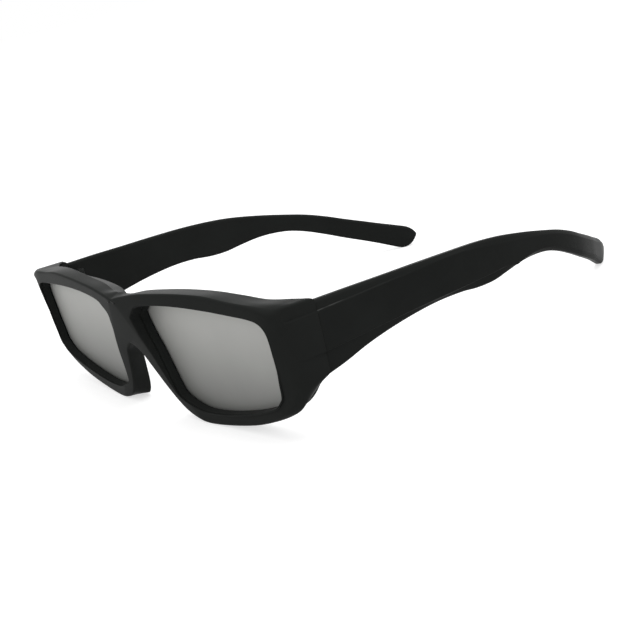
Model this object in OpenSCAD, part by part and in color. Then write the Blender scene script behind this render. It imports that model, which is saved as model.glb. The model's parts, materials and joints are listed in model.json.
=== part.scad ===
// Plastic eclipse glasses: a deep wrap-around front, two filter lenses held by rear bezels,
// and two curved temples that fold on hinge pins.
// Frame: X across (wearer's left is +X), Y from the front to the ear tips, Z up, feet at Z = 0.

/* [Front] */
// width of the front over the hinge seams
frame_w = 154.4; // [140:0.2:168]
// height of the brow over the lower rims
frame_h = 43.1; // [40:0.1:46]
// how far each half leans back per millimetre of width
wrap_slope = 0.103; // [0.09:0.001:0.12]
// how far the front leans back per millimetre of height, beside the nose
lean_slope = 0.144; // [0.12:0.001:0.17]
// how much of this lean is lost at the outer end of the front
lean_fade = 0.028; // [0.01:0.001:0.04]
// extra lean of the middle facet over the nose
keystone_slope = 0.056; // [0.04:0.001:0.07]
// how far the middle facet stands proud at its top
keystone_rise = 1; // [0.8:0.05:1.5]
// depth from the lens side corner to the hinge seam
end_depth = 20.8; // [19.5:0.1:23]
// thickness of the end piece wall beside the hinge
end_wall = 3.6; // [3:0.1:4.2]
// rounding of the outer front edges
edge_round = 0.9; // [0.5:0.1:1.3]
// depth of the wide corner that turns into the end piece
corner_round = 5.5; // [4.5:0.1:6.5]
// how fast the wide corner turns back beside the opening
corner_slope = 0.42; // [0.36:0.01:0.5]

/* [Lens seat] */
// distance of the lens behind the rim at its inner top corner
lens_recess = 7; // [6.4:0.1:7.6]
// lean of the lens per millimetre of width
lens_wrap = 0.06; // [0.05:0.001:0.07]
// lean of the lens per millimetre of height
lens_lean = 0.056; // [0.045:0.001:0.07]
// inward draft of the opening from the rim to the lens
opening_draft = 0.3; // [0.1:0.1:0.6]
// width of the ledge that the lens rests on
ledge_w = 1.5; // [1:0.1:1.8]
// thickness of the filter lens
lens_t = 1; // [0.6:0.1:1.4]
// thickness of the rear bezel
bezel_t = 1.2; // [0.9:0.1:1.6]
// play around the edge of the lens and the bezel
seat_play = 0.1; // [0.05:0.01:0.2]

/* [Temples] */
// reach of the temple from the seam to the ear tip
temple_reach = 139.9; // [130:0.1:150]
// thickness of the temple at the seam
temple_t = 3.6; // [3:0.1:4]
// thickness of the temple at the ear end
tip_t = 3; // [2.4:0.1:3.6]
// height of the ear tips over the line of the rims before the part is set down
tip_low = 3.8; // [3:0.1:4.6]
// inward sweep of the ear tip
tip_sweep = 26.5; // [18:0.5:28]
// height of the step around the raised side panel
panel_step = 0.4; // [0.2:0.05:0.6]
// where the side panel starts on the end piece
panel_start = 9.8; // [8:0.1:12]
// depth of the chamfer under the side panel
lower_chamfer = 1.1; // [0.6:0.1:1.4]
// gap between the end piece and the temple
seam_gap = 0.15; // [0.1:0.01:0.3]

/* [Hinges] */
// radius of the hinge knuckles
knuckle_r = 2.3; // [2:0.05:2.5]
// radius of the hinge pin
pin_r = 0.8; // [0.6:0.05:1]
// running play of the temple on its pin
pin_play = 0.05; // [0.02:0.01:0.09]
// height of the temple knuckle
knuckle_h = 5.6; // [4.5:0.1:6.5]
// height of each frame knuckle
lug_h = 4.2; // [3.5:0.1:4.8]
// gap between neighbouring knuckles
knuckle_gap = 0.2; // [0.1:0.05:0.3]
// gap between the knuckles and the temple
side_play = 0.3; // [0.2:0.05:0.4]
// distance of the middle of the hinge under the brow
hinge_drop = 14.3; // [13.4:0.1:15.4]
// radius of the pin head
pin_head_r = 1.4; // [1.2:0.05:1.7]
// thickness of the pin head
pin_head_h = 0.8; // [0.6:0.05:1]

/* [Hidden] */

// scale of the drawn outlines to the chosen width, height and depth
sx = frame_w / 154.4;
sz = frame_h / 43.1;
sy = end_depth / 20.8;
eye_x = 7.4 * sx;
eye_z = 37.15 * sz;
brow_z = 39.6 * sz;
seam_x = frame_w / 2;
seam_y = end_depth;
// place of the hinge axis, inboard of the temple so that it swings clear
hinge_x = seam_x - temple_t - knuckle_r - side_play;
hinge_y = seam_y + 1.7;
hinge_z = frame_h - hinge_drop;

black = [0.1, 0.11, 0.11];
silver = [0.62, 0.62, 0.59];
steel = [0.7, 0.7, 0.72];

// rows of the lens side: opening edge x, z; front edge x, z; rear edge x, y, z; share of the wide corner
rows = [
  [9.4, 35.6, 0.0, 39.6, 0.0, 2.5, 40.6, 0],
  [11.8, 37.3, 7.0, 40.8, 5.3, 4.0, 40.2, 0],
  [16.9, 38.2, 14.9, 41.9, 13.8, 5.4, 41.5, 0],
  [25.2, 38.8, 25.0, 42.6, 23.9, 6.0, 42.5, 0],
  [35.6, 38.9, 36.1, 43.1, 35.4, 7.3, 43.1, 0],
  [47.1, 38.5, 47.6, 43.1, 47.0, 9.5, 42.8, 0],
  [57.6, 37.8, 58.1, 42.0, 57.6, 11.4, 41.9, 0],
  [65.0, 37.2, 67.1, 41.3, 66.1, 13.9, 40.6, 0.04],
  [68.9, 36.2, 73.5, 40.4, 73.4, 17.8, 40.1, 0.3],
  [70.8, 34.0, 76.4, 39.5, 77.1, 20.8, 39.0, 0.75],
  [71.1, 31.0, 76.7, 34.3, 77.2, 20.8, 34.4, 1],
  [70.8, 27.2, 76.6, 28.5, 77.2, 20.8, 28.9, 1],
  [70.4, 22.5, 76.4, 22.6, 77.2, 20.8, 23.4, 1],
  [69.6, 18.2, 75.9, 17.2, 77.1, 20.8, 18.8, 0.95],
  [69.0, 14.6, 74.0, 13.2, 74.4, 19.5, 16.2, 0.75],
  [67.6, 12.8, 71.1, 9.6, 70.6, 18.0, 12.4, 0.5],
  [64.6, 10.5, 66.9, 7.3, 66.4, 16.8, 8.9, 0.25],
  [58.2, 8.4, 60.2, 5.0, 59.6, 15.9, 6.1, 0.08],
  [49.5, 6.4, 51.1, 2.7, 50.6, 15.4, 3.9, 0],
  [38.1, 4.6, 39.5, 0.9, 39.2, 14.5, 1.6, 0],
  [27.5, 4.1, 28.7, 0.0, 28.7, 13.6, 0.6, 0],
  [20.4, 5.7, 22.6, 0.7, 22.0, 13.0, 0.5, 0],
  [16.0, 8.0, 17.6, 2.7, 17.6, 12.4, 1.0, 0],
  [14.4, 11.4, 13.9, 6.1, 14.5, 11.8, 4.5, 0],
  [12.9, 15.9, 10.3, 11.3, 11.6, 10.8, 11.2, 0],
  [11.6, 20.4, 7.2, 16.7, 8.8, 9.6, 16.8, 0],
  [10.0, 24.5, 4.3, 21.3, 5.6, 8.4, 21.7, 0],
  [8.6, 27.9, 0.0, 24.0, 0.0, 7.2, 25.2, 0],
  [7.8, 30.9, 0.0, 29.7, 0.0, 5.8, 30.4, 0],
  [7.4, 33.6, 0.0, 35.7, 0.0, 4.5, 36.0, 0]
];
steps = 3;
stations = len(rows) * steps;

// side view of the temple: distance behind the front and height of the upper edge
top_line = [[21, 38.7], [32, 38.4], [44, 37.9], [57, 37.4], [71, 36.7], [82, 35.8], [92, 34.4], [104, 31.8],
            [114, 29.2], [122, 26.9], [130, 23.9], [137, 20.8], [144, 17.8], [150, 15.2], [155, 13.1],
            [158, 11.7], [159.8, 10], [160.7, 8.2]];
// lower edge
low_line = [[21, 17.5], [27, 18.8], [35, 20.9], [44, 22.5], [53.5, 23.6], [63, 24.1], [72, 23.7], [79, 22.7],
            [86, 22.4], [93, 23.1], [100, 23.7], [107, 23.5], [114, 22.4], [121, 20.1], [128, 17], [135, 13.6],
            [141, 10.8], [147, 7.9], [151.5, 5.5], [155, tip_low], [157, tip_low + 0.1],
            [158.8, tip_low + 1.1], [160.2, tip_low + 2.8], [160.7, tip_low + 3.8]];
// plan of the outer face as inward sweep, full sweep at the tip
sweep_line = [[21, 0], [32, -0.018], [45, -0.024], [58, -0.026], [70, -0.02], [80, 0.012], [90, 0.052],
              [105, 0.145], [120, 0.27], [133, 0.43], [144, 0.63], [152, 0.81], [157, 0.93], [161, 1.04]];
// upper and lower border of the raised side panel
panel_top = [[21, 35.7], [45, 35.9], [58, 35.6], [75, 35], [161, 18.4]];
panel_low = [[21, 24.5], [43, 25.3], [65, 25.6], [83, 25.4], [95, 24.6], [161, 0.4]];

// straight blend of two points
function mix(a, b, t) = a * (1 - t) + b * t;
// smooth curve through the rows at station number t, closed on itself
function row_at(t) =
  let (n = len(rows), i = floor(t), f = t - i,
       a = rows[(i + n - 1) % n], b = rows[i % n], c = rows[(i + 1) % n], d = rows[(i + 2) % n])
  0.5 * (2 * b + (c - a) * f + (2 * a - 5 * b + 4 * c - d) * f * f + (3 * b - a - 3 * c + d) * f * f * f);
// smooth curve through a list of distance and height pairs
function span_at(t, p, i = 0) = (i >= len(p) - 2 || t < p[i + 1][0]) ? i : span_at(t, p, i + 1);
function grade(p, i) =
  i == 0 ? (p[1][1] - p[0][1]) / (p[1][0] - p[0][0])
  : i == len(p) - 1 ? (p[i][1] - p[i - 1][1]) / (p[i][0] - p[i - 1][0])
  : (p[i + 1][1] - p[i - 1][1]) / (p[i + 1][0] - p[i - 1][0]);
function line_at(t, p) =
  let (i = span_at(t, p), h = p[i + 1][0] - p[i][0], s = (t - p[i][0]) / h,
       a = grade(p, i) * h, b = grade(p, i + 1) * h)
  p[i][1] * (2 * s * s * s - 3 * s * s + 1) + a * (s * s * s - 2 * s * s + s)
  + p[i + 1][1] * (3 * s * s - 2 * s * s * s) + b * (s * s * s - s * s);

// depth of the outer facet, of the middle facet and of the front surface at one place
function outer_y(x, z) =
  wrap_slope * (x - eye_x) + (lean_slope - lean_fade * (x - eye_x) / (seam_x - eye_x)) * (eye_z - z);
function middle_y(z) = -keystone_rise + (lean_slope + keystone_slope) * (brow_z - z);
function face_y(x, z) = max(outer_y(x, z), middle_y(z));

// the flat plane of the lens, its unit directions and its rear normal
function lens_y(x, z) = lens_recess + lens_wrap * (x - eye_x) + lens_lean * (eye_z - z);
lens_n = [-lens_wrap, 1, lens_lean] / norm([-lens_wrap, 1, lens_lean]);
lens_u = [1, lens_wrap, 0] / norm([1, lens_wrap, 0]);
lens_v = cross(lens_n, lens_u);
lens_o = [40 * sx, lens_y(40 * sx, 22 * sz), 22 * sz];
pocket_d = lens_t + bezel_t + 0.2;

// the opening edge, drawn in the front view
function hole_at(k) = let (r = row_at(((k + stations) % stations) / steps)) [r[0] * sx, r[1] * sz];
// the same edge moved outwards by d
function hole_off(k, d) =
  let (p = hole_at(k), t = hole_at(k + 1) - hole_at(k - 1), m = norm(t))
  p + d * [-t[1], t[0]] / m;
function on_lens(p) = [p[0], lens_y(p[0], p[1]), p[1]];
function on_face(p, back) = [p[0], face_y(p[0], p[1]) + back, p[1]];

// the front edge, and its inward direction in the front view
notch = 27 * steps;
function edge_at(k) =
  let (r = row_at(((k + stations) % stations) / steps)) [max(0, r[2]) * sx, max(0, r[3]) * sz];
function edge_in(k) =
  k == 0 ? [0, -1] : k == notch ? [0, 1]
  : let (t = edge_at(k + 1) - edge_at(k - 1), m = norm(t)) m < 0.001 ? [0, 0] : [t[1], -t[0]] / m;

// how far a place lies outside the crease of the middle facet
function past_crease(p) = outer_y(p[0], p[1]) - middle_y(p[1]);
// the place between the opening edge and the front edge where the crease passes
function crease_on(o, b) =
  let (f = past_crease(o), g = past_crease(b), s = f - g < 0.001 ? 0.5 : f / (f - g))
  mix(o, b, min(0.85, max(0.12, s)));

// place t of the even bend from a to c that leaves a towards b
function bend(a, b, c, t) = mix(mix(a, b, t), mix(b, c, t), t);

// one section of the front, from the opening edge over the front to the pocket of the lens
function section(k) =
  let (r = row_at(k / steps),
       o = [r[0] * sx, r[1] * sz],
       a = edge_at(k),
       mid = a[0] < 0.02 && k != 0 && k != notch,
       dx = a[0] < 0.02 ? 0 : min(seam_x, max(0, r[4]) * sx),
       d = [dx, min(seam_y, r[5] * sy), r[6] * sz],
       w = min(1, max(0, r[7])),
       u = mid ? [0, 0] : edge_in(k),
       rr = edge_round,
       o0 = on_face(o, 0),
       plain = [on_face(crease_on(o, a + u * rr), 0),
                on_face(a + u * rr, 0),
                on_face(a + u * rr * 0.5, mid ? 0 : rr * 0.134),
                on_face(a + u * rr * 0.134, mid ? 0 : rr * 0.5),
                on_face(a, rr)],
       turn = [a[0], o0[1] + corner_slope * (a[0] - o[0]), (o[1] + a[1]) / 2],
       front = [for (j = [0 : 4]) mix(plain[j], bend(o0, turn, on_face(a, corner_round), (j + 1) / 5), w)],
       f0 = mix(front[4], d, 0.5),
       v = (o - a) / norm(o - a),
       g0 = mix(d + [v[0] * 0.8, 0.3, v[1] * 0.8], [seam_x - end_wall, d[1], d[2]], w),
       pocket = on_lens(hole_off(k, ledge_w - opening_draft)),
       rim = pocket + lens_n * pocket_d,
       h0 = mix(mix(g0, rim, 0.5), [seam_x - end_wall - 0.3, rim[1] + 0.6, mix(d[2], rim[2], 0.3)], w))
  concat([o0], front, [f0, d, g0, h0, rim, pocket, on_lens(hole_off(k, -opening_draft))]);

// closed skin of both halves, joined on the middle plane
module front_skin() {
  n = len(section(0));
  half = [for (k = [0 : stations - 1]) each section(k)];
  quads = [for (k = [0 : stations - 1], j = [0 : n - 1])
    let (k2 = (k + 1) % stations, j2 = (j + 1) % n)
    [k * n + j, k2 * n + j, k2 * n + j2, k * n + j2]];
  tris = [for (q = quads) each [[q[0], q[2], q[1]], [q[0], q[3], q[2]]]];
  kept = [for (t = tris) if (half[t[0]][0] > 0.001 || half[t[1]][0] > 0.001 || half[t[2]][0] > 0.001) t];
  other = [for (p = half) [-p[0], p[1], p[2]]];
  m = len(half);
  polyhedron(points = concat(half, other),
             faces = concat(kept, [for (t = kept) [t[2] + m, t[1] + m, t[0] + m]]), convexity = 12);
}

// hinge lugs of the left side of the wearer
lug_low = hinge_z - knuckle_h / 2 - knuckle_gap - lug_h;
lug_high = hinge_z + knuckle_h / 2 + knuckle_gap;
module lug(z) {
  translate([hinge_x, hinge_y, z]) cylinder(r = knuckle_r, h = lug_h, $fn = 48);
  translate([hinge_x - knuckle_r * 0.8, seam_y - 5.4, z])
    cube([knuckle_r * 1.75, hinge_y - seam_y + 5.4, lug_h]);
  translate([hinge_x, seam_y - 5.4, z]) cube([seam_x - hinge_x - 1.5, 4.9, lug_h]);
}
module pin_bore() {
  translate([hinge_x, hinge_y, lug_low + 1]) cylinder(r = pin_r + 0.02, h = 40, $fn = 40);
  translate([hinge_x, hinge_y, lug_high + lug_h - pin_head_h])
    cylinder(r = pin_head_r + 0.1, h = 10, $fn = 40);
}
// flat bands over and under the side panel, from the rounded corner to the seam
module side_relief() {
  run = seam_y - panel_start;
  corner_in = 0.85;
  z_top = line_at(21, panel_top) * sz;
  z_low = line_at(21, panel_low) * sz;
  translate([seam_x - panel_step - corner_in, panel_start, 0]) rotate([90, 0, -atan(corner_in / run)])
    mirror([0, 0, 1]) linear_extrude(run * 1.2) {
      polygon([[0, z_top + 0.3], [panel_step, z_top], [4, z_top], [4, z_top + 9], [0, z_top + 9]]);
      polygon([[0, z_low - 0.3], [panel_step, z_low], [4, z_low], [4, z_low - 20], [0, z_low - 20]]);
    }
}
module front_raw() {
  difference() {
    union() {
      front_skin();
      for (s = [0, 1]) mirror([s, 0, 0]) {
        lug(lug_low);
        lug(lug_high);
      }
    }
    for (s = [0, 1]) mirror([s, 0, 0]) {
      pin_bore();
      side_relief();
    }
  }
}

// plate in the plane of the lens, its outline moved outwards by grow, starting at depth back
module lens_plate(grow, back, t) {
  multmatrix([[lens_u[0], lens_v[0], lens_n[0], lens_o[0]],
              [lens_u[1], lens_v[1], lens_n[1], lens_o[1]],
              [lens_u[2], lens_v[2], lens_n[2], lens_o[2]]])
    translate([0, 0, back]) linear_extrude(t)
      polygon([for (k = [0 : stations - 1])
        let (p = on_lens(hole_off(k, grow)) - lens_o) [p * lens_u, p * lens_v]]);
}
seat = ledge_w - opening_draft - seat_play;
module lens_raw() {
  lens_plate(seat, 0.05, lens_t);
}
module bezel_raw() {
  difference() {
    lens_plate(seat, lens_t + 0.1, bezel_t);
    lens_plate(0.1 - opening_draft, 0, lens_t + bezel_t + 1);
  }
}

// outer face of the temple in plan
reach = temple_reach / 139.9;
function along(y) = seam_y + (y - 20.8) * reach;
function outer_x(y) = seam_x - tip_sweep * line_at(y, sweep_line);
function thick(y) = mix(temple_t, tip_t, min(1, (y - 21) / 70));
function fade(y, a, b) = min(1, max(0, (b - y) / (b - a)));
function temple_section(y) =
  let (t = thick(y) * (y > 156 ? 1 - 0.4 * pow((y - 156) / 4.7, 2) : 1),
       zt = line_at(y, top_line) * sz,
       zb = line_at(y, low_line) * sz,
       h = zt - zb,
       r = min(0.6, h * 0.2),
       rise = min(0.3, h * 0.12),
       up = panel_step * fade(y, 44, 60),
       dn = panel_step * fade(y, 84, 98),
       cut = lower_chamfer * fade(y, 21, 150) + 0.2,
       zu = min(line_at(y, panel_top) * sz, zt - max(0.24 * h * (1 - fade(y, 70, 100)), 2.2 * r)),
       zl = max(line_at(y, panel_low) * sz, zb + max(0.24 * h * (1 - fade(y, 90, 110)), 1.02 * r)),
       dy = 0.5,
       g = (outer_x(y + dy) - outer_x(y - dy)) / (along(y + dy) - along(y - dy)),
       m = sqrt(1 + g * g),
       n = [1, -g, 0] / m,
       y0 = max(along(y), seam_y + seam_gap),
       c = [outer_x(y), y0, 0])
  [for (q = [[-t + r, zb], [-cut - r, zb], [-cut, zb + r], [-dn, zl - rise], [0, zl], [0, zu], [-up, zu + rise],
             [-up - 0.5, zt - r], [-up - 0.5 - r, zt], [-t + r, zt], [-t, zt - r], [-t, zb + r]])
     [c[0] + n[0] * q[0], max(c[1] + n[1] * q[0], seam_y + seam_gap), q[1]]];
temple_y = concat([20.8 + seam_gap], [for (y = [24 : 3.5 : 151]) y],
                  [153.2, 155, 156.6, 158, 159.1, 159.9, 160.4, 160.7]);
module temple_skin() {
  n = 12;
  m = len(temple_y);
  pts = [for (y = temple_y) each temple_section(y)];
  sides = [for (k = [0 : m - 2], j = [0 : n - 1])
    let (j2 = (j + 1) % n)
    each [[k * n + j, (k + 1) * n + j2, (k + 1) * n + j], [k * n + j, k * n + j2, (k + 1) * n + j2]]];
  front = [for (j = [1 : n - 2]) [0, j + 1, j]];
  back = [for (j = [1 : n - 2]) [(m - 1) * n, (m - 1) * n + j, (m - 1) * n + j + 1]];
  polyhedron(points = pts, faces = concat(sides, front, back), convexity = 8);
}
module temple_raw() {
  difference() {
    union() {
      temple_skin();
      translate([hinge_x, hinge_y, hinge_z - knuckle_h / 2]) cylinder(r = knuckle_r, h = knuckle_h, $fn = 48);
      translate([hinge_x, hinge_y - 1.2, hinge_z - knuckle_h / 2])
        cube([seam_x - hinge_x - temple_t + 0.8, 3.5, knuckle_h]);
    }
    translate([hinge_x, hinge_y, hinge_z - 10]) cylinder(r = pin_r + pin_play, h = 20, $fn = 40);
  }
}

module pin_raw() {
  difference() {
    union() {
      translate([hinge_x, hinge_y, lug_low + 1.1])
        cylinder(r = pin_r, h = lug_high + lug_h - lug_low - 1.2, $fn = 40);
      translate([hinge_x, hinge_y, lug_high + lug_h - pin_head_h + 0.05])
        cylinder(r = pin_head_r, h = pin_head_h, $fn = 40);
    }
    translate([hinge_x - 3, hinge_y - 0.2, lug_high + lug_h - 0.3]) cube([6, 0.4, 2]);
  }
}

// the part is set down on its rims and ear tips and centred over its outline
foot_y = face_y(28.7 * sx, 0) + edge_round;
rest_tilt = atan(min([for (y = temple_y) if (y > 120) line_at(y, low_line) * sz / (along(y) - foot_y)]));
top_z = brow_z - edge_round;
y_front = face_y(0, top_z) * cos(rest_tilt) + top_z * sin(rest_tilt);
tip_end = top_line[len(top_line) - 1];
y_tip = along(tip_end[0]) * cos(rest_tilt) + tip_end[1] * sz * sin(rest_tilt);
module placed(side) {
  translate([0, -(y_front + y_tip) / 2, foot_y * sin(rest_tilt)]) rotate([-rest_tilt, 0, 0])
    mirror([side, 0, 0]) children();
}

module front_frame() { color(black) placed(0) front_raw(); }
module lens_left() { color(silver) placed(0) lens_raw(); }
module lens_right() { color(silver) placed(1) lens_raw(); }
module bezel_left() { color(black) placed(0) bezel_raw(); }
module bezel_right() { color(black) placed(1) bezel_raw(); }
module temple_left() { color(black) placed(0) temple_raw(); }
module temple_right() { color(black) placed(1) temple_raw(); }
module hinge_pin_left() { color(steel) placed(0) pin_raw(); }
module hinge_pin_right() { color(steel) placed(1) pin_raw(); }

front_frame();
lens_right();
lens_left();
bezel_right();
bezel_left();
temple_right();
temple_left();
hinge_pin_right();
hinge_pin_left();
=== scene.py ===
import json
import math

import bmesh
import bpy
from mathutils import Matrix, Vector


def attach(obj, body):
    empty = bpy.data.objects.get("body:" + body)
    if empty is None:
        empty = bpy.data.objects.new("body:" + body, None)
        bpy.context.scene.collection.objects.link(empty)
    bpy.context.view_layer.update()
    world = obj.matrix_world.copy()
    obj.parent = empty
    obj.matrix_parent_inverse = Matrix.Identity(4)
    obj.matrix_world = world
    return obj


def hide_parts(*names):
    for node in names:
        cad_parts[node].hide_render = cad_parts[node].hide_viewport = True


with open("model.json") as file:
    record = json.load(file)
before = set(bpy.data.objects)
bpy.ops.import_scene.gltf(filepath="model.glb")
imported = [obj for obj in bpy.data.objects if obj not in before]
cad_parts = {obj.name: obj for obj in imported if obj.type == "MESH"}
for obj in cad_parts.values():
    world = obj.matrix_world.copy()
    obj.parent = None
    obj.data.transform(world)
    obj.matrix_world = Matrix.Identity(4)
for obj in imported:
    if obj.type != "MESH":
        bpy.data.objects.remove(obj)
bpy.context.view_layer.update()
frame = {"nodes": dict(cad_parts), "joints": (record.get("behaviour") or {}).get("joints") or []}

# Sizes are in millimetres, in the frame the glasses are drawn in: X across, Y back, Z up. Only the
# left half is drawn, at positive X. A slope is the depth gained per millimetre across or down.

# The front: its side at the seam, the inner top corner of its opening and the top of its middle.
SEAM_X = 77.2
SEAM_Y = 20.8
EYE_X = 7.4
EYE_Z = 37.15
BROW_Z = 39.6
BROW_EASE = 7.0  # the brow line is brought level over this distance from the middle plane
ON_MIDDLE = 0.02  # a place closer than this lies on the middle plane

# The outer facet, the keystone facet and the soft crease between them.
WRAP_SLOPE = 0.103
LEAN_SLOPE = 0.144
LEAN_FADE = 0.028
KEYSTONE_SLOPE = 0.056
KEYSTONE_RISE = 1.0
CREASE_BLEND = 0.07
CREASE_SHIFTS = (-0.6, 0, 0.6)  # a section has one point on the crease and one to each side of it
CREASE_KEPT = (0.14, 0.84)  # shares of the face between which the crease stays
FACE_KEPT = (0.09, 0.93)  # and those between which its three points stay

# The edge of the front, which widens to the bend of the wide corner, and the end piece's wall.
EDGE_ROUND = 0.7
EDGE_STEPS = 8
CORNER_ROUND = 5.5
CORNER_SLOPE = 0.42
END_WALL = 3.6
END_LOW_Z = 14.4
RIM_IN = 0.8
RIM_BACK = 0.3
HINGE_ROOM_IN = 0.3
HINGE_ROOM_BACK = 0.6
HINGE_ROOM_SHARE = 0.3  # its height lies at this share from the rear edge to the rim

# The opening: the draft and the groove of its wall, the ledge, the lens and the retainer.
OPENING_DRAFT = 0.3
GROOVE_FRONT = 2.4
GROOVE_W = 0.5
GROOVE_D = 0.4
LEDGE_W = 1.5
LEDGE_STEP = (0.45, 0.4)  # the step in the ledge, at the lens and at the stop before it
STOP_T = 0.5
LENS_RECESS = 7.0
LENS_WRAP = 0.06
LENS_LEAN = 0.056
LENS_REAR = Vector((-LENS_WRAP, 1, LENS_LEAN)).normalized()
LENS_T = 1.0
BEZEL_T = 1.2
BEZEL_GAP = 0.1
BEZEL_SOFT = (0.1, 0.1, 0.2, 0.35)  # how far its four corners are softened
POCKET_D = LENS_T + BEZEL_T + 2 * BEZEL_GAP

# The side panel that runs over the end piece and the temple.
PANEL_STEP = 0.4
PANEL_START = 9.8
STEP_RISE = 0.3
STEP_SUPPORT = 0.1
CORNER_IN = 0.85
SIDE_CLEAR = 0.8  # the side's faces lie at least this far outside the inner wall,
SIDE_FACING = 0.2  # face outwards at least so much
SIDE_LEAD = 1  # and start this far before the panel

# The temple. A fade is a pair of distances: all of it is there at the first, none at the second.
SEAM_GAP = 0.06
SEAM_STATIONS = (0.0, 0.12, 0.3)
SEAM_EASE = (0.12, 0.04)  # how much smaller the first two sections are
TEMPLE_START = 21
TEMPLE_T = 3.6
TIP_T = 3.0
THIN_OVER = 70  # it grows thinner over this distance
TEMPLE_ROUND = 0.6
LOWER_CHAMFER = 1.1
CHAMFER_FADE = (TEMPLE_START, 150)
UPPER_STEP_FADE = (44, 60)
LOWER_STEP_FADE = (84, 98)
UPPER_PANEL_FADE = (70, 100)
LOWER_PANEL_FADE = (90, 110)
BAND_SHARE = 0.24  # share of the height that a band beside the panel grows to
UPPER_BAND_LEAST = 2.2  # and its least width, as a multiple of the edge's rounding
LOWER_BAND_LEAST = 1.02
CHAMFER_LEAST = 0.2
ROUND_SHARE = 0.2  # most of the height that the edge's rounding may take
RISE_SHARE = 0.12  # most of the height that the panel's step may take
DEPTH_SHARE = 0.3  # most of the thickness that a rounding or chamfer may take
TIP_LOW = 3.8
TIP_SWEEP = 26.5
TIP_END = 160.7
TIP_ROUND = 2.4
TIP_LEAST = 0.3  # share of the thickness that is left at its end
TIP_LENGTH = 3.2  # the closer sections of the tip start this far before its end
TIP_CLEAR = 3.4  # and the even ones stop here
FIRST_STATION = 22.0
STATION_GAP = 1.1

# The hinge: the middle of the pin, the knuckle of the temple and the two lugs of the front.
HINGE = Vector((71.0, 22.5, 28.8))
KNUCKLE_R = 2.3
KNUCKLE_H = 5.6
KNUCKLE_GAP = 0.2
LUG_H = 4.2
PIN_R = 0.8
PIN_HEAD_R = 1.5
LUG_PLAY = 0.02
KNUCKLE_PLAY = 0.05
LEAF_EASE = 0.22

# Places closer together than DOUBLES are merged. The mirrored half has a wider limit, and faces
# that lie on the middle plane are taken out before it is made.
DOUBLES = 2e-4
MIRROR_MERGE = 0.004
MIDDLE_FACES = 0.003

# A rounding takes at most the first share of the way to the next corner, and its support point
# lies within the second.
REACH_SHARE = 0.42
SUPPORT_SHARE = 0.47

# How far each corner of the front's section is softened.
SOFT_OPENING = 0.35
SOFT_REAR_EDGE = 0.18
SOFT_REAR_RIM = 0.3
SOFT_POCKET = 0.22
SOFT_STOP = 0.14
SOFT_GROOVE = 0.08

# One lens side, clockwise from the brow: opening edge x, z; front edge x, z; rear edge x, y, z;
# share of the wide corner.
ROWS = [
    (9.4, 35.6, 0.0, 39.6, 0.0, 2.5, 40.6, 0),
    (11.8, 37.3, 7.0, 40.8, 5.3, 4.0, 40.2, 0),
    (16.9, 38.2, 14.9, 41.9, 13.8, 5.4, 41.5, 0),
    (25.2, 38.8, 25.0, 42.6, 23.9, 6.0, 42.5, 0),
    (35.6, 38.9, 36.1, 43.1, 35.4, 7.3, 43.1, 0),
    (47.1, 38.5, 47.6, 43.1, 47.0, 9.5, 42.8, 0),
    (57.6, 37.8, 58.1, 42.0, 57.6, 11.4, 41.9, 0),
    (65.0, 37.2, 67.1, 41.3, 66.1, 13.9, 40.6, 0.04),
    (68.9, 36.2, 73.5, 40.4, 73.4, 17.8, 40.1, 0.3),
    (70.8, 34.0, 76.4, 39.5, 77.1, 20.8, 39.0, 0.75),
    (71.1, 31.0, 76.7, 34.3, 77.2, 20.8, 34.4, 1),
    (70.8, 27.2, 76.6, 28.5, 77.2, 20.8, 28.9, 1),
    (70.4, 22.5, 76.4, 22.6, 77.2, 20.8, 23.4, 1),
    (69.6, 18.2, 75.9, 17.2, 77.1, 20.8, 18.8, 0.95),
    (69.0, 14.6, 74.0, 13.2, 74.4, 19.5, 16.2, 0.75),
    (67.6, 12.8, 71.1, 9.6, 70.6, 18.0, 12.4, 0.5),
    (64.6, 10.5, 66.9, 7.3, 66.4, 16.8, 8.9, 0.25),
    (58.2, 8.4, 60.2, 5.0, 59.6, 15.9, 6.1, 0.08),
    (49.5, 6.4, 51.1, 2.7, 50.6, 15.4, 3.9, 0),
    (38.1, 4.6, 39.5, 0.9, 39.2, 14.5, 1.6, 0),
    (27.5, 4.1, 28.7, 0.0, 28.7, 13.6, 0.6, 0),
    (20.4, 5.7, 22.6, 0.7, 22.0, 13.0, 0.5, 0),
    (16.0, 8.0, 17.6, 2.7, 17.6, 12.4, 1.0, 0),
    (14.4, 11.4, 13.9, 6.1, 14.5, 11.8, 4.5, 0),
    (12.9, 15.9, 10.3, 11.3, 11.6, 10.8, 11.2, 0),
    (11.6, 20.4, 7.2, 16.7, 8.8, 9.6, 16.8, 0),
    (10.0, 24.5, 4.3, 21.3, 5.6, 8.4, 21.7, 0),
    (8.6, 27.9, 0.0, 24.0, 0.0, 7.2, 25.2, 0),
    (7.8, 30.9, 0.0, 29.7, 0.0, 5.8, 30.4, 0),
    (7.4, 33.6, 0.0, 35.7, 0.0, 4.5, 36.0, 0),
]
FRONT_EDGE_Z, REAR_EDGE_Z = 3, 6  # places of the two heights of the brow line in a row
BROW_ROWS = 2
NOTCH_ROW = 27
STATIONS_PER_ROW = 6
STATIONS = len(ROWS) * STATIONS_PER_ROW
NOTCH = NOTCH_ROW * STATIONS_PER_ROW

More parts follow.
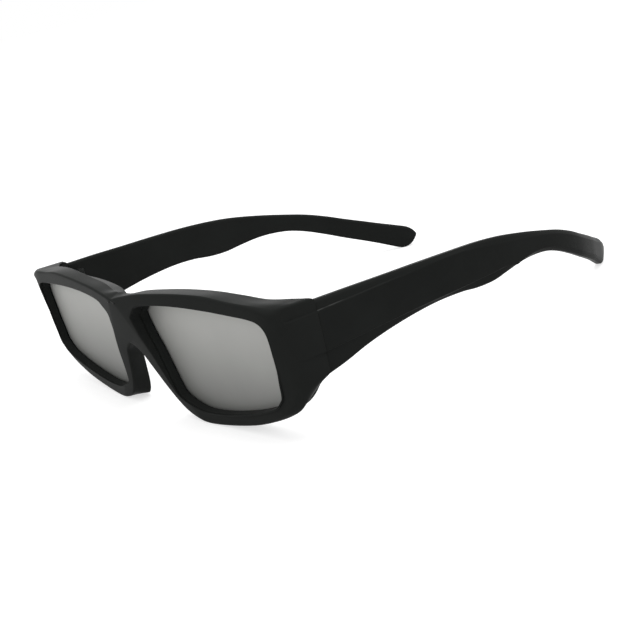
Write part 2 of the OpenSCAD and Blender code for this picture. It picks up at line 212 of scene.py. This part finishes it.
# Side view of the temple: distance behind the front and height. The sweep line gives shares.
TOP_LINE = [
    (21, 38.7), (32, 38.4), (44, 37.9), (57, 37.4), (71, 36.7), (82, 35.8), (92, 34.4),
    (104, 31.8), (114, 29.2), (122, 26.9), (130, 23.9), (137, 20.8), (144, 17.8), (150, 15.2),
    (155, 13.1), (158, 11.7), (159.8, 10), (TIP_END, 8.2),
]
LOW_LINE = [
    (21, 17.5), (27, 18.8), (35, 20.9), (44, 22.5), (53.5, 23.6), (63, 24.1), (72, 23.7),
    (79, 22.7), (86, 22.4), (93, 23.1), (100, 23.7), (107, 23.5), (114, 22.4), (121, 20.1),
    (128, 17), (135, 13.6), (141, 10.8), (147, 7.9), (151.5, 5.5), (155, TIP_LOW),
    (157, TIP_LOW + 0.1), (158.8, TIP_LOW + 1.1), (160.2, TIP_LOW + 2.8), (TIP_END, TIP_LOW + 3.8),
]
SWEEP_LINE = [
    (21, 0), (32, -0.018), (45, -0.024), (58, -0.026), (70, -0.02), (80, 0.012), (90, 0.052),
    (105, 0.145), (120, 0.27), (133, 0.43), (144, 0.63), (152, 0.81), (157, 0.93), (161, 1.04),
]
PANEL_TOP = [(21, 35.7), (45, 35.9), (58, 35.6), (75, 35), (161, 18.4)]
PANEL_LOW = [(21, 24.5), (43, 25.3), (65, 25.6), (83, 25.4), (95, 24.6), (161, 0.4)]

# The camera in the same drawing frame: where it stands, how it is turned and how long its lens is.
EYE = Vector((348.84, -159.62, 126.6))
CAMERA_RIGHT = Vector((0.59048, 0.77828, -0.2136))
CAMERA_UP = Vector((-0.10037, 0.33344, 0.93741))
CAMERA_LENS = 71.98
CAMERA_SENSOR = 36.0
CAMERA_CLIP = 0.01

# Colours are pairs that a slow cloud blends between.
FRAME_BLACK = ((0.0195, 0.0208, 0.0198, 1), (0.0225, 0.0239, 0.0228, 1))
TEMPLE_BLACK = ((0.017, 0.0181, 0.0173, 1), (0.0198, 0.0212, 0.0202, 1))
# Lighter tone of the painted highlight on the temples' sharp edges.
EDGE_HIGHLIGHT_BLACK = (0.055, 0.057, 0.055, 1)
# The film's tint, darker at the bottom and lighter at the top, as a painted reflection.
FILM_TINT_DARK_REFLECTION = ((0.185, 0.187, 0.178, 1), (0.205, 0.207, 0.197, 1))
FILM_TINT_BRIGHT_REFLECTION = ((0.5, 0.502, 0.48, 1), (0.535, 0.537, 0.514, 1))
STEEL_GREY = ((0.05, 0.05, 0.052, 1), (0.09, 0.09, 0.094, 1))
WHITE = (1, 1, 1, 1)

# The floor and the world, in metres and strengths.
FLOOR_SIZE = 4
FLOOR_DIFFUSE = 0.6
FLOOR_VARIES = 0.01
FLOOR_LIFT = 0.64
WORLD_LIGHT = 0.62


def joint(name):
    return next(j for j in frame["joints"] if j["name"] == name)


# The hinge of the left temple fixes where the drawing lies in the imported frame, in metres.
hinge_axis = Vector(joint("temple_left_fold")["axis"])
REST_TILT = math.atan2(hinge_axis.y, hinge_axis.z)
PLACE = (
    Matrix.Translation(Vector(joint("temple_left_fold")["pos_m"]))
    @ Matrix.Rotation(-REST_TILT, 4, "X")
    @ Matrix.Scale(0.001, 4)
    @ Matrix.Translation(-HINGE)
)
MIRROR = Matrix.Scale(-1, 4, (1, 0, 0))


def mix(a, b, t):
    return a * (1 - t) + b * t


def limit(value, low=0.0, high=1.0):
    return min(high, max(low, value))


def level_middle(x, z, middle_z):
    """Height of the brow line, brought level where the two halves meet."""
    s = x / BROW_EASE
    return z if s >= 1 else middle_z + (z - middle_z) * s * (2 - s)


def row_at(t):
    """The drawn row at place t, smooth between the key rows and closed on itself."""
    i = math.floor(t)
    f = t - i
    a, b, c, d = (ROWS[(i + k) % len(ROWS)] for k in (-1, 0, 1, 2))
    row = []
    for p, q, r, s in zip(a, b, c, d):
        square = 2 * p - 5 * q + 4 * r - s
        cube = 3 * q - p - 3 * r + s
        row.append(0.5 * (2 * q + (r - p) * f + square * f**2 + cube * f**3))
    if i % len(ROWS) == NOTCH_ROW - 1:
        # The top of the nose notch is level where it meets the middle plane.
        for n in (FRONT_EDGE_Z, REAR_EDGE_Z):
            row[n] -= 0.5 * (d[n] - b[n]) * f**2 * (f - 1)
    if i % len(ROWS) < BROW_ROWS:
        for n, x in ((FRONT_EDGE_Z, row[2]), (REAR_EDGE_Z, row[4])):
            row[n] = level_middle(max(0.0, x), row[n], ROWS[0][n])
    return row


def line_at(t, line):
    """Height on a smooth line of (distance, height) pairs."""
    last = len(line) - 2
    i = next((k for k in range(last) if t < line[k + 1][0]), last)

    def grade(k):
        a, b = line[max(0, k - 1)], line[min(len(line) - 1, k + 1)]
        return (b[1] - a[1]) / (b[0] - a[0])

    (x0, z0), (x1, z1) = line[i], line[i + 1]
    h = x1 - x0
    s = (t - x0) / h
    return (
        z0 * (2 * s**3 - 3 * s**2 + 1)
        + grade(i) * h * (s**3 - 2 * s**2 + s)
        + z1 * (3 * s**2 - 2 * s**3)
        + grade(i + 1) * h * (s**3 - s**2)
    )


def outer_y(x, z):
    """Depth of the outer facet, whose lean fades towards the side."""
    lean = LEAN_SLOPE - LEAN_FADE * (x - EYE_X) / (SEAM_X - EYE_X)
    return WRAP_SLOPE * (x - EYE_X) + lean * (EYE_Z - z)


def keystone_y(z):
    return (LEAN_SLOPE + KEYSTONE_SLOPE) * (BROW_Z - z) - KEYSTONE_RISE


def face_y(x, z):
    """Depth of the front: an outer facet on each half and the keystone, with a soft crease."""
    half, keystone = outer_y(x, z), keystone_y(z)
    near = max(0.0, CREASE_BLEND - abs(half - keystone)) / CREASE_BLEND
    return max(half, keystone) + near * near * CREASE_BLEND / 4


def past_crease(p):
    return outer_y(p.x, p.y) - keystone_y(p.y)


def crease_share(a, b):
    """Share of the way from a to b at which it crosses the crease, kept off both ends."""
    f, g = past_crease(a), past_crease(b)
    return limit(f / (f - g) if f - g > 0.001 else 0.5, *CREASE_KEPT)


def lens_y(x, z):
    return LENS_RECESS + LENS_WRAP * (x - EYE_X) + LENS_LEAN * (EYE_Z - z)


def on_face(p, back=0.0):
    return Vector((p.x, face_y(p.x, p.y) + back, p.y))


def on_lens(p, back=0.0):
    return Vector((p.x, lens_y(p.x, p.y), p.y)) + LENS_REAR * back


def opening_at(k):
    """The opening edge at station k, in the front view."""
    row = row_at(k / STATIONS_PER_ROW)
    return Vector((row[0], row[1]))


def opening_off(k, out):
    """The opening edge in the front view, moved outwards."""
    along = opening_at(k + 1) - opening_at(k - 1)
    return opening_at(k) + Vector((-along.y, along.x)).normalized() * out


def edge_at(k):
    """The front edge at station k, in the front view."""
    row = row_at(k / STATIONS_PER_ROW)
    return Vector((max(0.0, row[2]), max(0.0, row[3])))


def edge_in(k):
    """Inward direction at the front edge."""
    if k % STATIONS == 0:
        return Vector((0, -1))
    if k == NOTCH:
        return Vector((0, 1))
    along = edge_at(k + 1) - edge_at(k - 1)
    return Vector((along.y, -along.x)).normalized()


def rounded(corners, segments=4, support=0.12):
    """Closed outline whose corners are softened. Each corner is (place, reach); a reach of None is
    a plain point. A support point beside each rounding keeps the flats flat."""
    out = []
    count = len(corners)
    for i, (p, reach) in enumerate(corners):
        if reach is None:
            out.append(p)
            continue
        sides = []
        for other in (corners[i - 1][0], corners[(i + 1) % count][0]):
            way = other - p
            gone = min(reach, REACH_SHARE * way.length)
            unit = way.normalized()
            flat = p + unit * min(gone + support, SUPPORT_SHARE * way.length)
            sides.append((p + unit * gone, flat))
        (a, a_far), (b, b_far) = sides
        out.append(a_far)
        for n in range(segments + 1):
            s = n / segments
            out.append(a * (1 - s) ** 2 + p * 2 * s * (1 - s) + b * s**2)
        out.append(b_far)
    return out


def bend(a, b, c, t):
    """Place t of the even bend from a to c that leaves a towards b."""
    return mix(mix(a, b, t), mix(b, c, t), t)


def face_points(k, opening, edge, share, on_join):
    """The face of a section, from the opening to the rounded front edge. Where the two halves
    join it has no rounding, and at the wide corner it becomes one bend."""
    inwards = Vector((0, 0)) if on_join else edge_in(k)
    brink = edge + inwards * EDGE_ROUND
    crease = crease_share(opening, brink)
    width = (brink - opening).length
    points = [
        on_face(mix(opening, brink, limit(crease + shift / width, *FACE_KEPT)))
        for shift in CREASE_SHIFTS
    ]
    for n in range(EDGE_STEPS + 1):
        turn = math.radians(90 * n / EDGE_STEPS)
        back = 0 if on_join else EDGE_ROUND * (1 - math.cos(turn))
        points.append(on_face(edge + inwards * EDGE_ROUND * (1 - math.sin(turn)), back))
    points[-1] = on_face(edge, EDGE_ROUND)
    start, end = on_face(opening), on_face(edge, CORNER_ROUND)
    corner_y = start.y + CORNER_SLOPE * (edge.x - opening.x)
    corner = Vector((edge.x, corner_y, (opening.y + edge.y) / 2))
    return [
        mix(p, bend(start, corner, end, (n + 1) / len(points)), share)
        for n, p in enumerate(points)
    ]


def front_section(k):
    """One section of the front: face, outer edge, side, rear edge, rear rim, pocket, ledge and
    opening wall with its groove."""
    row = row_at(k / STATIONS_PER_ROW)
    opening = Vector((row[0], row[1]))
    edge = edge_at(k)
    share = limit(row[7])
    on_middle = edge.x < ON_MIDDLE
    on_join = on_middle and k % STATIONS != 0 and k != NOTCH
    face = face_points(k, opening, edge, share, on_join)

    rear_x = 0.0 if on_middle else limit(row[4], 0, SEAM_X)
    rear = Vector((rear_x, min(SEAM_Y, row[5]), row[6]))
    inward = (opening - edge).normalized()
    wall_in = Vector((SEAM_X - END_WALL, rear.y, rear.z))
    rear_in = rear + Vector((inward.x * RIM_IN, RIM_BACK, inward.y * RIM_IN))
    rear_in = mix(rear_in, wall_in, share)

    pocket = on_lens(opening_off(k, LEDGE_W - OPENING_DRAFT))
    rim = pocket + LENS_REAR * POCKET_D
    room_z = mix(rear.z, rim.z, HINGE_ROOM_SHARE)
    room = Vector((SEAM_X - END_WALL - HINGE_ROOM_IN, rim.y + HINGE_ROOM_BACK, room_z))
    behind = mix(mix(rear_in, rim, 0.5), room, share)

    stop = on_lens(opening_off(k, -OPENING_DRAFT), -STOP_T)
    outward = on_lens(opening_off(k, GROOVE_D)) - on_lens(opening_at(k))
    wall = on_face(opening) - stop
    lips = [
        stop + wall * (far / abs(wall.y)) for far in (GROOVE_FRONT, GROOVE_FRONT + GROOVE_W)
    ]
    return rounded([
        (on_face(opening), SOFT_OPENING),
        *((p, None) for p in face),
        (mix(face[-1], rear, 0.5), None),
        (rear, SOFT_REAR_EDGE),
        (rear_in, SOFT_REAR_RIM),
        (behind, None),
        (rim, SOFT_POCKET),
        (pocket, None),
        (on_lens(opening_off(k, LEDGE_STEP[0])), None),
        (on_lens(opening_off(k, LEDGE_STEP[1]), -STOP_T), None),
        (stop, SOFT_STOP),
        (lips[0], SOFT_GROOVE),
        (lips[0] + outward, None),
        (lips[1] + outward, None),
        (lips[1], SOFT_GROOVE),
    ])


def loft(sections, closed, capped=False):
    """Skin through sections of equal point counts, grown from the first by extrusion."""
    bm = bmesh.new()
    step = bm.verts.layers.int.new("step")
    ring = [bm.verts.new(p) for p in sections[0]]
    for i, v in enumerate(ring):
        v[step] = i
    edges = [bm.edges.new((ring[i - 1], ring[i])) for i in range(len(ring))]
    if capped:
        bm.faces.new(ring)
    for points in sections[1:] + ([sections[0]] if closed else []):
        grown = bmesh.ops.extrude_edge_only(bm, edges=edges)["geom"]
        fresh = {v for v in grown if isinstance(v, bmesh.types.BMVert)}
        for v in fresh:
            v.co = points[v[step]]
        edges = [
            e for e in grown if isinstance(e, bmesh.types.BMEdge) and set(e.verts) <= fresh
        ]
    if capped:
        bmesh.ops.contextual_create(bm, geom=edges)
    return bm


def finish_mesh(bm, name, body, material, mirrored=False):
    """Merge, place in the frame, face outwards and hand the piece over."""
    bmesh.ops.remove_doubles(bm, verts=bm.verts, dist=DOUBLES)
    bmesh.ops.dissolve_degenerate(bm, edges=bm.edges, dist=DOUBLES)
    placed = (MIRROR @ PLACE) if mirrored else PLACE
    bmesh.ops.transform(bm, matrix=placed, verts=bm.verts)
    bmesh.ops.recalc_face_normals(bm, faces=bm.faces)
    mesh = bpy.data.meshes.new(name)
    bm.to_mesh(mesh)
    bm.free()
    mesh.shade_smooth()
    piece = bpy.data.objects.new(name, mesh)
    bpy.context.scene.collection.objects.link(piece)
    mesh.materials.append(material)
    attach(piece, body)
    return piece


def cut_at(bm, height, chosen):
    """Level cut through the chosen faces."""
    faces = [f for f in bm.faces if chosen(f)]
    edges = {e for f in faces for e in f.edges}
    verts = {v for f in faces for v in f.verts}
    bmesh.ops.bisect_plane(
        bm, geom=faces + list(edges) + list(verts), plane_co=(0, 0, height), plane_no=(0, 0, 1)
    )


def relieve_side(bm):
    """Flat bands over and under the side panel of the end piece."""
    z_top = line_at(TEMPLE_START, PANEL_TOP)
    z_low = line_at(TEMPLE_START, PANEL_LOW)

    def outer(f):
        c = f.calc_center_median()
        on_side = c.x > SEAM_X - END_WALL + SIDE_CLEAR and f.normal.x > SIDE_FACING
        return on_side and c.y > PANEL_START - SIDE_LEAD

    bm.normal_update()
    band_top, band_low = z_top + STEP_RISE, z_low - STEP_RISE
    for z in (z_top - STEP_SUPPORT, z_top, band_top, band_top + STEP_SUPPORT,
              z_low + STEP_SUPPORT, z_low, band_low, band_low - STEP_SUPPORT):
        cut_at(bm, z, outer)
    run = SEAM_Y - PANEL_START
    eps = 0.01
    for v in bm.verts:
        if band_low + eps < v.co.z < band_top - eps or v.co.y < PANEL_START:
            continue
        flat_x = SEAM_X - PANEL_STEP - CORNER_IN + CORNER_IN * (v.co.y - PANEL_START) / run
        if v.co.x > flat_x and v.co.z > END_LOW_Z:
            v.co.x = flat_x


def make_front(material):
    """The front: one skin for the left half, mirrored across the middle."""
    bm = loft([front_section(k) for k in range(STATIONS)], closed=True)
    bmesh.ops.remove_doubles(bm, verts=bm.verts, dist=DOUBLES)
    inside = [f for f in bm.faces if all(v.co.x < MIDDLE_FACES for v in f.verts)]
    bmesh.ops.delete(bm, geom=inside, context="FACES")
    bmesh.ops.recalc_face_normals(bm, faces=bm.faces)
    relieve_side(bm)
    half = bm.verts[:] + bm.edges[:] + bm.faces[:]
    bmesh.ops.mirror(bm, geom=half, axis="X", merge_dist=MIRROR_MERGE)
    piece = finish_mesh(bm, "front_shell", "front", material)
    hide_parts("front_frame")


def make_bezel(side, material):
    """Retainer ring behind the lens."""
    inner, outer = BEZEL_GAP - OPENING_DRAFT, LEDGE_W - OPENING_DRAFT - BEZEL_GAP
    near, far = LENS_T + BEZEL_GAP, LENS_T + BEZEL_GAP + BEZEL_T
    outline = ((inner, near), (outer, near), (outer, far), (inner, far))
    sections = []
    for k in range(STATIONS):
        places = [on_lens(opening_off(k, out), back) for out, back in outline]
        sections.append(rounded(list(zip(places, BEZEL_SOFT)), segments=3, support=0.06))
    bm = loft(sections, closed=True)
    mirrored = side == "right"
    piece = finish_mesh(bm, "retainer_" + side, "front", material, mirrored)
    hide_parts("bezel_" + side)


def fade(y, start, end):
    return limit((end - y) / (end - start))


def outer_x(y):
    """How far out the outer side of the temple stands."""
    return SEAM_X - TIP_SWEEP * line_at(y, SWEEP_LINE)


def temple_section(y):
    """One section of the temple, twelve corners from its inner lower edge by the outer side."""
    nose = limit((y - (TIP_END - TIP_ROUND)) / TIP_ROUND)
    t = mix(TEMPLE_T, TIP_T, limit((y - TEMPLE_START) / THIN_OVER))
    t *= max(TIP_LEAST, math.sqrt(1 - nose**2))
    top, low = line_at(y, TOP_LINE), line_at(y, LOW_LINE)
    h = top - low
    r = min(TEMPLE_ROUND, h * ROUND_SHARE)
    e = min(r, DEPTH_SHARE * t)
    rise = min(STEP_RISE, h * RISE_SHARE)
    up = PANEL_STEP * fade(y, *UPPER_STEP_FADE)
    down = PANEL_STEP * fade(y, *LOWER_STEP_FADE)
    cut = min(LOWER_CHAMFER * fade(y, *CHAMFER_FADE) + CHAMFER_LEAST, DEPTH_SHARE * t)
    upper_share = BAND_SHARE * h * (1 - fade(y, *UPPER_PANEL_FADE))
    lower_share = BAND_SHARE * h * (1 - fade(y, *LOWER_PANEL_FADE))
    z_up = min(line_at(y, PANEL_TOP), top - max(upper_share, UPPER_BAND_LEAST * r))
    z_low = max(line_at(y, PANEL_LOW), low + max(lower_share, LOWER_BAND_LEAST * r))
    shoulder = -up - 0.5 * e / TEMPLE_ROUND
    soft = 0.45 * e
    outline = [
        (-t + e, low, soft), (-cut - e, low, soft), (-cut, low + e, soft),
        (-down, z_low - rise, 0.1), (0, z_low, 0.1), (0, z_up, 0.1), (-up, z_up + rise, 0.1),
        (shoulder, top - e, soft), (shoulder - e, top, soft),
        (-t + e, top, soft), (-t, top - e, soft), (-t, low + e, soft),
    ]
    slope = outer_x(y + 0.5) - outer_x(y - 0.5)
    out = Vector((1, -slope, 0)).normalized()
    first_y = SEAM_Y + SEAM_GAP
    start = Vector((outer_x(y), max(y, first_y), 0))
    corners = []
    for depth, z, reach in outline:
        p = start + out * depth
        corners.append((Vector((p.x, max(p.y, first_y), z)), reach))
    return rounded(corners, segments=3, support=0.1)


def shrunk(points, by):
    """The section made smaller by so much on every side."""
    middle = sum(points, Vector()) / len(points)
    out = []
    for p in points:
        way = Vector((middle.x - p.x, 0, middle.z - p.z))
        pull = Vector((0.5 * way.x, 0, by * way.z / max(way.length, 0.001)))
        pull.x = math.copysign(min(by, abs(pull.x)), way.x)
        out.append(p + pull)
    return out


def make_temple(side, material):
    """The arm of a temple, with closer sections at the seam and at the tip."""
    ys = [SEAM_Y + SEAM_GAP + v for v in SEAM_STATIONS]
    y = FIRST_STATION
    while y < TIP_END - TIP_CLEAR:
        ys.append(y)
        y += STATION_GAP
    ys += [TIP_END - TIP_LENGTH * math.cos(math.radians(a)) for a in range(0, 88, 6)]
    ys.append(TIP_END)
    sections = [temple_section(y) for y in ys]
    for n, ease in enumerate(SEAM_EASE):
        sections[n] = shrunk(sections[n], ease)
    bm = loft(sections, closed=False, capped=True)
    name, body, mirrored = "temple_arm_" + side, side + "_temple", side == "right"
    piece = finish_mesh(bm, name, body, material, mirrored)
    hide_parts("temple_" + side)


def hinge_arc(start, end, radius=KNUCKLE_R, count=20):
    """Places in plan on an arc about the pin, between two turns in degrees."""
    turns = [math.radians(mix(start, end, n / count)) for n in range(count + 1)]
    return [(HINGE.x + radius * math.cos(t), HINGE.y + radius * math.sin(t)) for t in turns]


def leaf(bm, outline, z0, z1, hole_r):
    """Flat hinge leaf with its bore and eased edges, raised from an outline in plan."""
    rings = []
    for points in (outline, hinge_arc(0, 360, hole_r, 28)[:-1]):
        verts = [bm.verts.new((x, y, z0)) for x, y in points]
        rings += [bm.edges.new((verts[i - 1], verts[i])) for i in range(len(verts))]
    filled = bmesh.ops.triangle_fill(bm, use_beauty=True, edges=rings)["geom"]
    faces = [f for f in filled if isinstance(f, bmesh.types.BMFace)]
    top = bmesh.ops.extrude_face_region(bm, geom=faces)["geom"]
    verts = [v for v in top if isinstance(v, bmesh.types.BMVert)]
    bmesh.ops.translate(bm, vec=(0, 0, z1 - z0), verts=verts)

    def on_rim(e):
        a, b = (v.co.z for v in e.verts)
        sharp = len(e.link_faces) == 2 and e.calc_face_angle(0) > 1
        return sharp and abs(a - b) < 0.01 and min(abs(a - z0), abs(a - z1)) < 0.01

    rim = [e for e in bm.edges if on_rim(e)]
    bmesh.ops.bevel(
        bm, geom=rim, offset=LEAF_EASE, segments=2, profile=0.5, affect="EDGES", material=-1
    )


LUG_OUTLINE = [(75.7, 15.4), (75.7, 20.3), (73.3, 20.3)] + hinge_arc(0, 180) + [(69.2, 15.4)]
LUG_LOW = HINGE.z - KNUCKLE_H / 2 - KNUCKLE_GAP - LUG_H
LUG_HIGH = HINGE.z + KNUCKLE_H / 2 + KNUCKLE_GAP
KNUCKLE_OUTLINE = [(74.4, 21.3), (74.4, 24.8)] + hinge_arc(90, 329)
KNUCKLE_LOW, KNUCKLE_HIGH = HINGE.z - KNUCKLE_H / 2, HINGE.z + KNUCKLE_H / 2


def make_lugs(side, material):
    """The two lugs behind an end piece. The upper one is bored for the head of the pin."""
    bm = bmesh.new()
    leaf(bm, LUG_OUTLINE, LUG_LOW, LUG_LOW + LUG_H, PIN_R + LUG_PLAY)
    leaf(bm, LUG_OUTLINE, LUG_HIGH, LUG_HIGH + LUG_H, PIN_HEAD_R)
    mirrored = side == "right"
    finish_mesh(bm, "hinge_lugs_" + side, "front", material, mirrored)


def make_knuckle(side, material):
    """The knuckle of a temple, between the two lugs."""
    bm = bmesh.new()
    leaf(bm, KNUCKLE_OUTLINE, KNUCKLE_LOW, KNUCKLE_HIGH, PIN_R + KNUCKLE_PLAY)
    name, body, mirrored = "hinge_knuckle_" + side, side + "_temple", side == "right"
    finish_mesh(bm, name, body, material, mirrored)


class Socket:
    """A value in a material's node tree that Python's operators work on."""

    def __init__(self, paint, link):
        self.paint = paint
        self.link = link

    def math(self, operation, *values):
        settings = {"operation": operation}
        return self.paint.node("ShaderNodeMath", settings, dict(enumerate(values)))

    def __add__(self, other):
        return self.math("ADD", self, other)

    __radd__ = __add__

    def __sub__(self, other):
        return self.math("SUBTRACT", self, other)

    def __rsub__(self, other):
        return self.math("SUBTRACT", other, self)

    def __mul__(self, other):
        return self.math("MULTIPLY", self, other)

    __rmul__ = __mul__

    def between(self, low, high):
        """0 below low, 1 above high, smooth between them."""
        settings = {"interpolation_type": "SMOOTHSTEP"}
        values = {"Value": self, "From Min": low, "From Max": high}
        return self.paint.node("ShaderNodeMapRange", settings, values)


class Paint:
    """Builds the node tree of one material or of the world."""

    def __init__(self, tree):
        self.tree = tree
        self.tree.nodes.clear()

    def node(self, kind, settings=None, values=None, output=0):
        made = self.tree.nodes.new(kind)
        for key, value in (settings or {}).items():
            setattr(made, key, value)
        for key, value in (values or {}).items():
            self.put(made.inputs[key], value)
        return Socket(self, made.outputs[output])

    def put(self, socket, value):
        if isinstance(value, Socket):
            self.tree.links.new(value.link, socket)
        elif value is not None:
            socket.default_value = value

    def place(self):
        return self.node("ShaderNodeTexCoord", output="Object")

    def along(self, axis):
        """The object's own coordinate along an axis, in metres."""
        return self.node("ShaderNodeSeparateXYZ", values={"Vector": self.place()}, output=axis)

    def noise(self, scale, detail=2.0, rough=0.5):
        values = {"Vector": self.place(), "Scale": scale, "Detail": detail, "Roughness": rough}
        return self.node("ShaderNodeTexNoise", values=values)

    def blend(self, share, a, b):
        # Inputs 6 and 7 and output 2 are the colours of the mix node.
        settings = {"data_type": "RGBA"}
        return self.node("ShaderNodeMix", settings, {0: share, 6: a, 7: b}, output=2)

    def bump(self, height, distance, strength, normal=None):
        values = {
            "Height": height, "Distance": distance, "Strength": strength, "Normal": normal
        }
        return self.node("ShaderNodeBump", values=values)

    def surface(self, **values):
        named = {key.replace("_", " "): value for key, value in values.items()}
        self.output("ShaderNodeOutputMaterial", self.node("ShaderNodeBsdfPrincipled", values=named))

    def output(self, kind, shader):
        made = self.tree.nodes.new(kind)
        self.put(made.inputs["Surface"], shader)


def new_material(name):
    made = bpy.data.materials.new(name)
    made.use_nodes = True
    return made, Paint(made.node_tree)


def painted_edge_highlight(paint):
    """1 on the sharp edges that get a painted highlight: all round the front end of a temple, and
    behind it the lower ones only."""
    # Painted highlight: pointiness picks out the sharp convex edges, which are made lighter.
    sharp = paint.node("ShaderNodeNewGeometry", output="Pointiness").between(0.52, 0.6)
    behind = paint.along("Y").between(-0.054, -0.048)
    high = paint.along("Z").between(0.028, 0.03)
    return sharp * (1 - behind * high)


def satin_plastic(name, tones, rough, edge_highlight=None):
    """Black moulded plastic: a fine eroded grain, a slow flow of gloss, faint handling marks and,
    where a tone for it is given, a painted highlight that makes the sharp edges lighter."""
    made, paint = new_material(name)
    cloud = paint.noise(scale=38, detail=3).between(0.35, 0.7)
    grain = paint.noise(scale=5200)
    flow = paint.noise(scale=70)
    marks = paint.noise(scale=620, detail=3, rough=0.65).between(0.58, 0.78)
    tone = paint.blend(cloud, *tones)
    # Painted highlight: the sharp edges get a lighter base colour.
    if edge_highlight:
        tone = paint.blend(painted_edge_highlight(paint), tone, edge_highlight)
    normal = paint.bump(flow, distance=0.00006, strength=0.6)
    normal = paint.bump(grain, distance=0.000012, strength=0.7, normal=normal)
    paint.surface(
        Base_Color=tone,
        Roughness=cloud * 0.05 + marks * 0.05 + rough,
        IOR=1.05,
        Normal=normal,
    )
    return made


def filter_film(name):
    """Silver-grey solar film: a metallised face, a little rippled, with a painted reflection that
    makes it lighter towards the top.
    """
    made, paint = new_material(name)
    # Painted reflection: the base colour blends from the darker tint at the bottom to the lighter
    # one at the top.
    height = paint.along("Z").between(0.002, 0.042)
    cloud = paint.noise(scale=55, detail=3).between(0.3, 0.75)
    ripple = paint.noise(scale=90, detail=1)
    low = paint.blend(cloud, *FILM_TINT_DARK_REFLECTION)
    high = paint.blend(cloud, *FILM_TINT_BRIGHT_REFLECTION)
    paint.surface(
        Base_Color=paint.blend(height, low, high),
        Metallic=0.12,
        Roughness=cloud * 0.05 + 0.5,
        Normal=paint.bump(ripple, distance=0.00005, strength=0.5),
    )
    return made


def pin_steel(name):
    """Dark steel of the pins, turned and worn in places."""
    made, paint = new_material(name)
    turned = paint.noise(scale=900)
    worn = paint.noise(scale=150, detail=3).between(0.4, 0.7)
    paint.surface(
        Base_Color=paint.blend(worn, *STEEL_GREY),
        Metallic=1.0,
        Roughness=turned * 0.15 + 0.25,
        Normal=paint.bump(turned, distance=0.00001, strength=0.5),
    )
    return made


def light_rays(paint):
    """1 for the rays that look at the background straight on, in a gloss or through glass."""
    path = paint.tree.nodes.new("ShaderNodeLightPath")
    kinds = ("Is Camera Ray", "Is Glossy Ray", "Is Transmission Ray")
    camera, glossy, through = (Socket(paint, path.outputs[kind]) for kind in kinds)
    total = camera + glossy + through
    return total.math("MINIMUM", total, 1.0)


def make_floor():
    """White floor that keeps the shadow of the glasses."""
    bm = bmesh.new()
    bmesh.ops.create_grid(bm, x_segments=1, y_segments=1, size=FLOOR_SIZE)
    mesh = bpy.data.meshes.new("floor")
    bm.to_mesh(mesh)
    bm.free()
    floor = bpy.data.objects.new("floor", mesh)
    bpy.context.scene.collection.objects.link(floor)
    made, paint = new_material("floor_paper")
    tone = paint.noise(scale=3) * FLOOR_VARIES + (FLOOR_DIFFUSE - FLOOR_VARIES / 2)
    colour = paint.node("ShaderNodeCombineColor", values={0: tone, 1: tone, 2: tone})
    diffuse = paint.node("ShaderNodeBsdfDiffuse", values={"Color": colour})
    strength = light_rays(paint) * FLOOR_LIFT
    lift = paint.node("ShaderNodeEmission", values={"Strength": strength})
    both = paint.node("ShaderNodeAddShader", values={0: diffuse, 1: lift})
    paint.output("ShaderNodeOutputMaterial", both)
    mesh.materials.append(made)


def make_world():
    """Even light all round, white where it is looked at."""
    world = bpy.data.worlds.new("studio")
    bpy.context.scene.world = world
    world.use_nodes = True
    paint = Paint(world.node_tree)
    strength = light_rays(paint) * (1 - WORLD_LIGHT) + WORLD_LIGHT
    values = {"Color": WHITE, "Strength": strength}
    paint.output("ShaderNodeOutputWorld", paint.node("ShaderNodeBackground", values=values))


def make_lamp(name, place, aim, size, power):
    """An area lamp that stands at one place and shines towards another."""
    lamp = bpy.data.lights.new(name, "AREA")
    lamp.shape = "RECTANGLE"
    lamp.size, lamp.size_y = size
    lamp.energy = power
    stand = bpy.data.objects.new(name, lamp)
    bpy.context.scene.collection.objects.link(stand)
    stand.location = place
    stand.rotation_euler = (Vector(aim) - Vector(place)).to_track_quat("-Z", "Y").to_euler()


def make_camera():
    """The camera of the photo."""
    data = bpy.data.cameras.new("camera")
    data.lens = CAMERA_LENS
    data.sensor_width = CAMERA_SENSOR
    data.clip_start = CAMERA_CLIP
    camera = bpy.data.objects.new("camera", data)
    bpy.context.scene.collection.objects.link(camera)
    back = CAMERA_RIGHT.cross(CAMERA_UP)
    turn = Matrix((CAMERA_RIGHT, CAMERA_UP, back)).transposed().normalized()
    rest = Matrix.Rotation(-REST_TILT, 4, "X")
    camera.matrix_world = Matrix.Translation(PLACE @ EYE) @ rest @ turn.to_4x4()
    bpy.context.scene.camera = camera


frame_plastic = satin_plastic("frame_plastic", FRAME_BLACK, rough=0.28)
temple_plastic = satin_plastic("temple_plastic", TEMPLE_BLACK, rough=0.26, edge_highlight=EDGE_HIGHLIGHT_BLACK)
film = filter_film("filter_film")
steel = pin_steel("pin_steel")

make_front(frame_plastic)
for side in ("left", "right"):
    make_bezel(side, frame_plastic)
    make_temple(side, temple_plastic)
    make_lugs(side, frame_plastic)
    make_knuckle(side, temple_plastic)
    for node, material in (("lens_" + side, film), ("hinge_pin_" + side, steel)):
        mesh = frame["nodes"][node].data
        mesh.materials.clear()
        mesh.materials.append(material)

make_floor()
make_world()
make_lamp("overhead", place=(0.1, 0.1, 0.9), aim=(0, 0, 0), size=(0.9, 0.9), power=5)
make_lamp("front_fill", place=(-0.3, -0.8, 0.5), aim=(0, 0, 0.02), size=(0.5, 0.5), power=1)
make_lamp("rear_edge", place=(-1.0, 0.72, 0.36), aim=(0, 0, 0.03), size=(0.6, 0.5), power=1.2)
make_camera()
bpy.context.scene.view_settings.view_transform = "Standard"
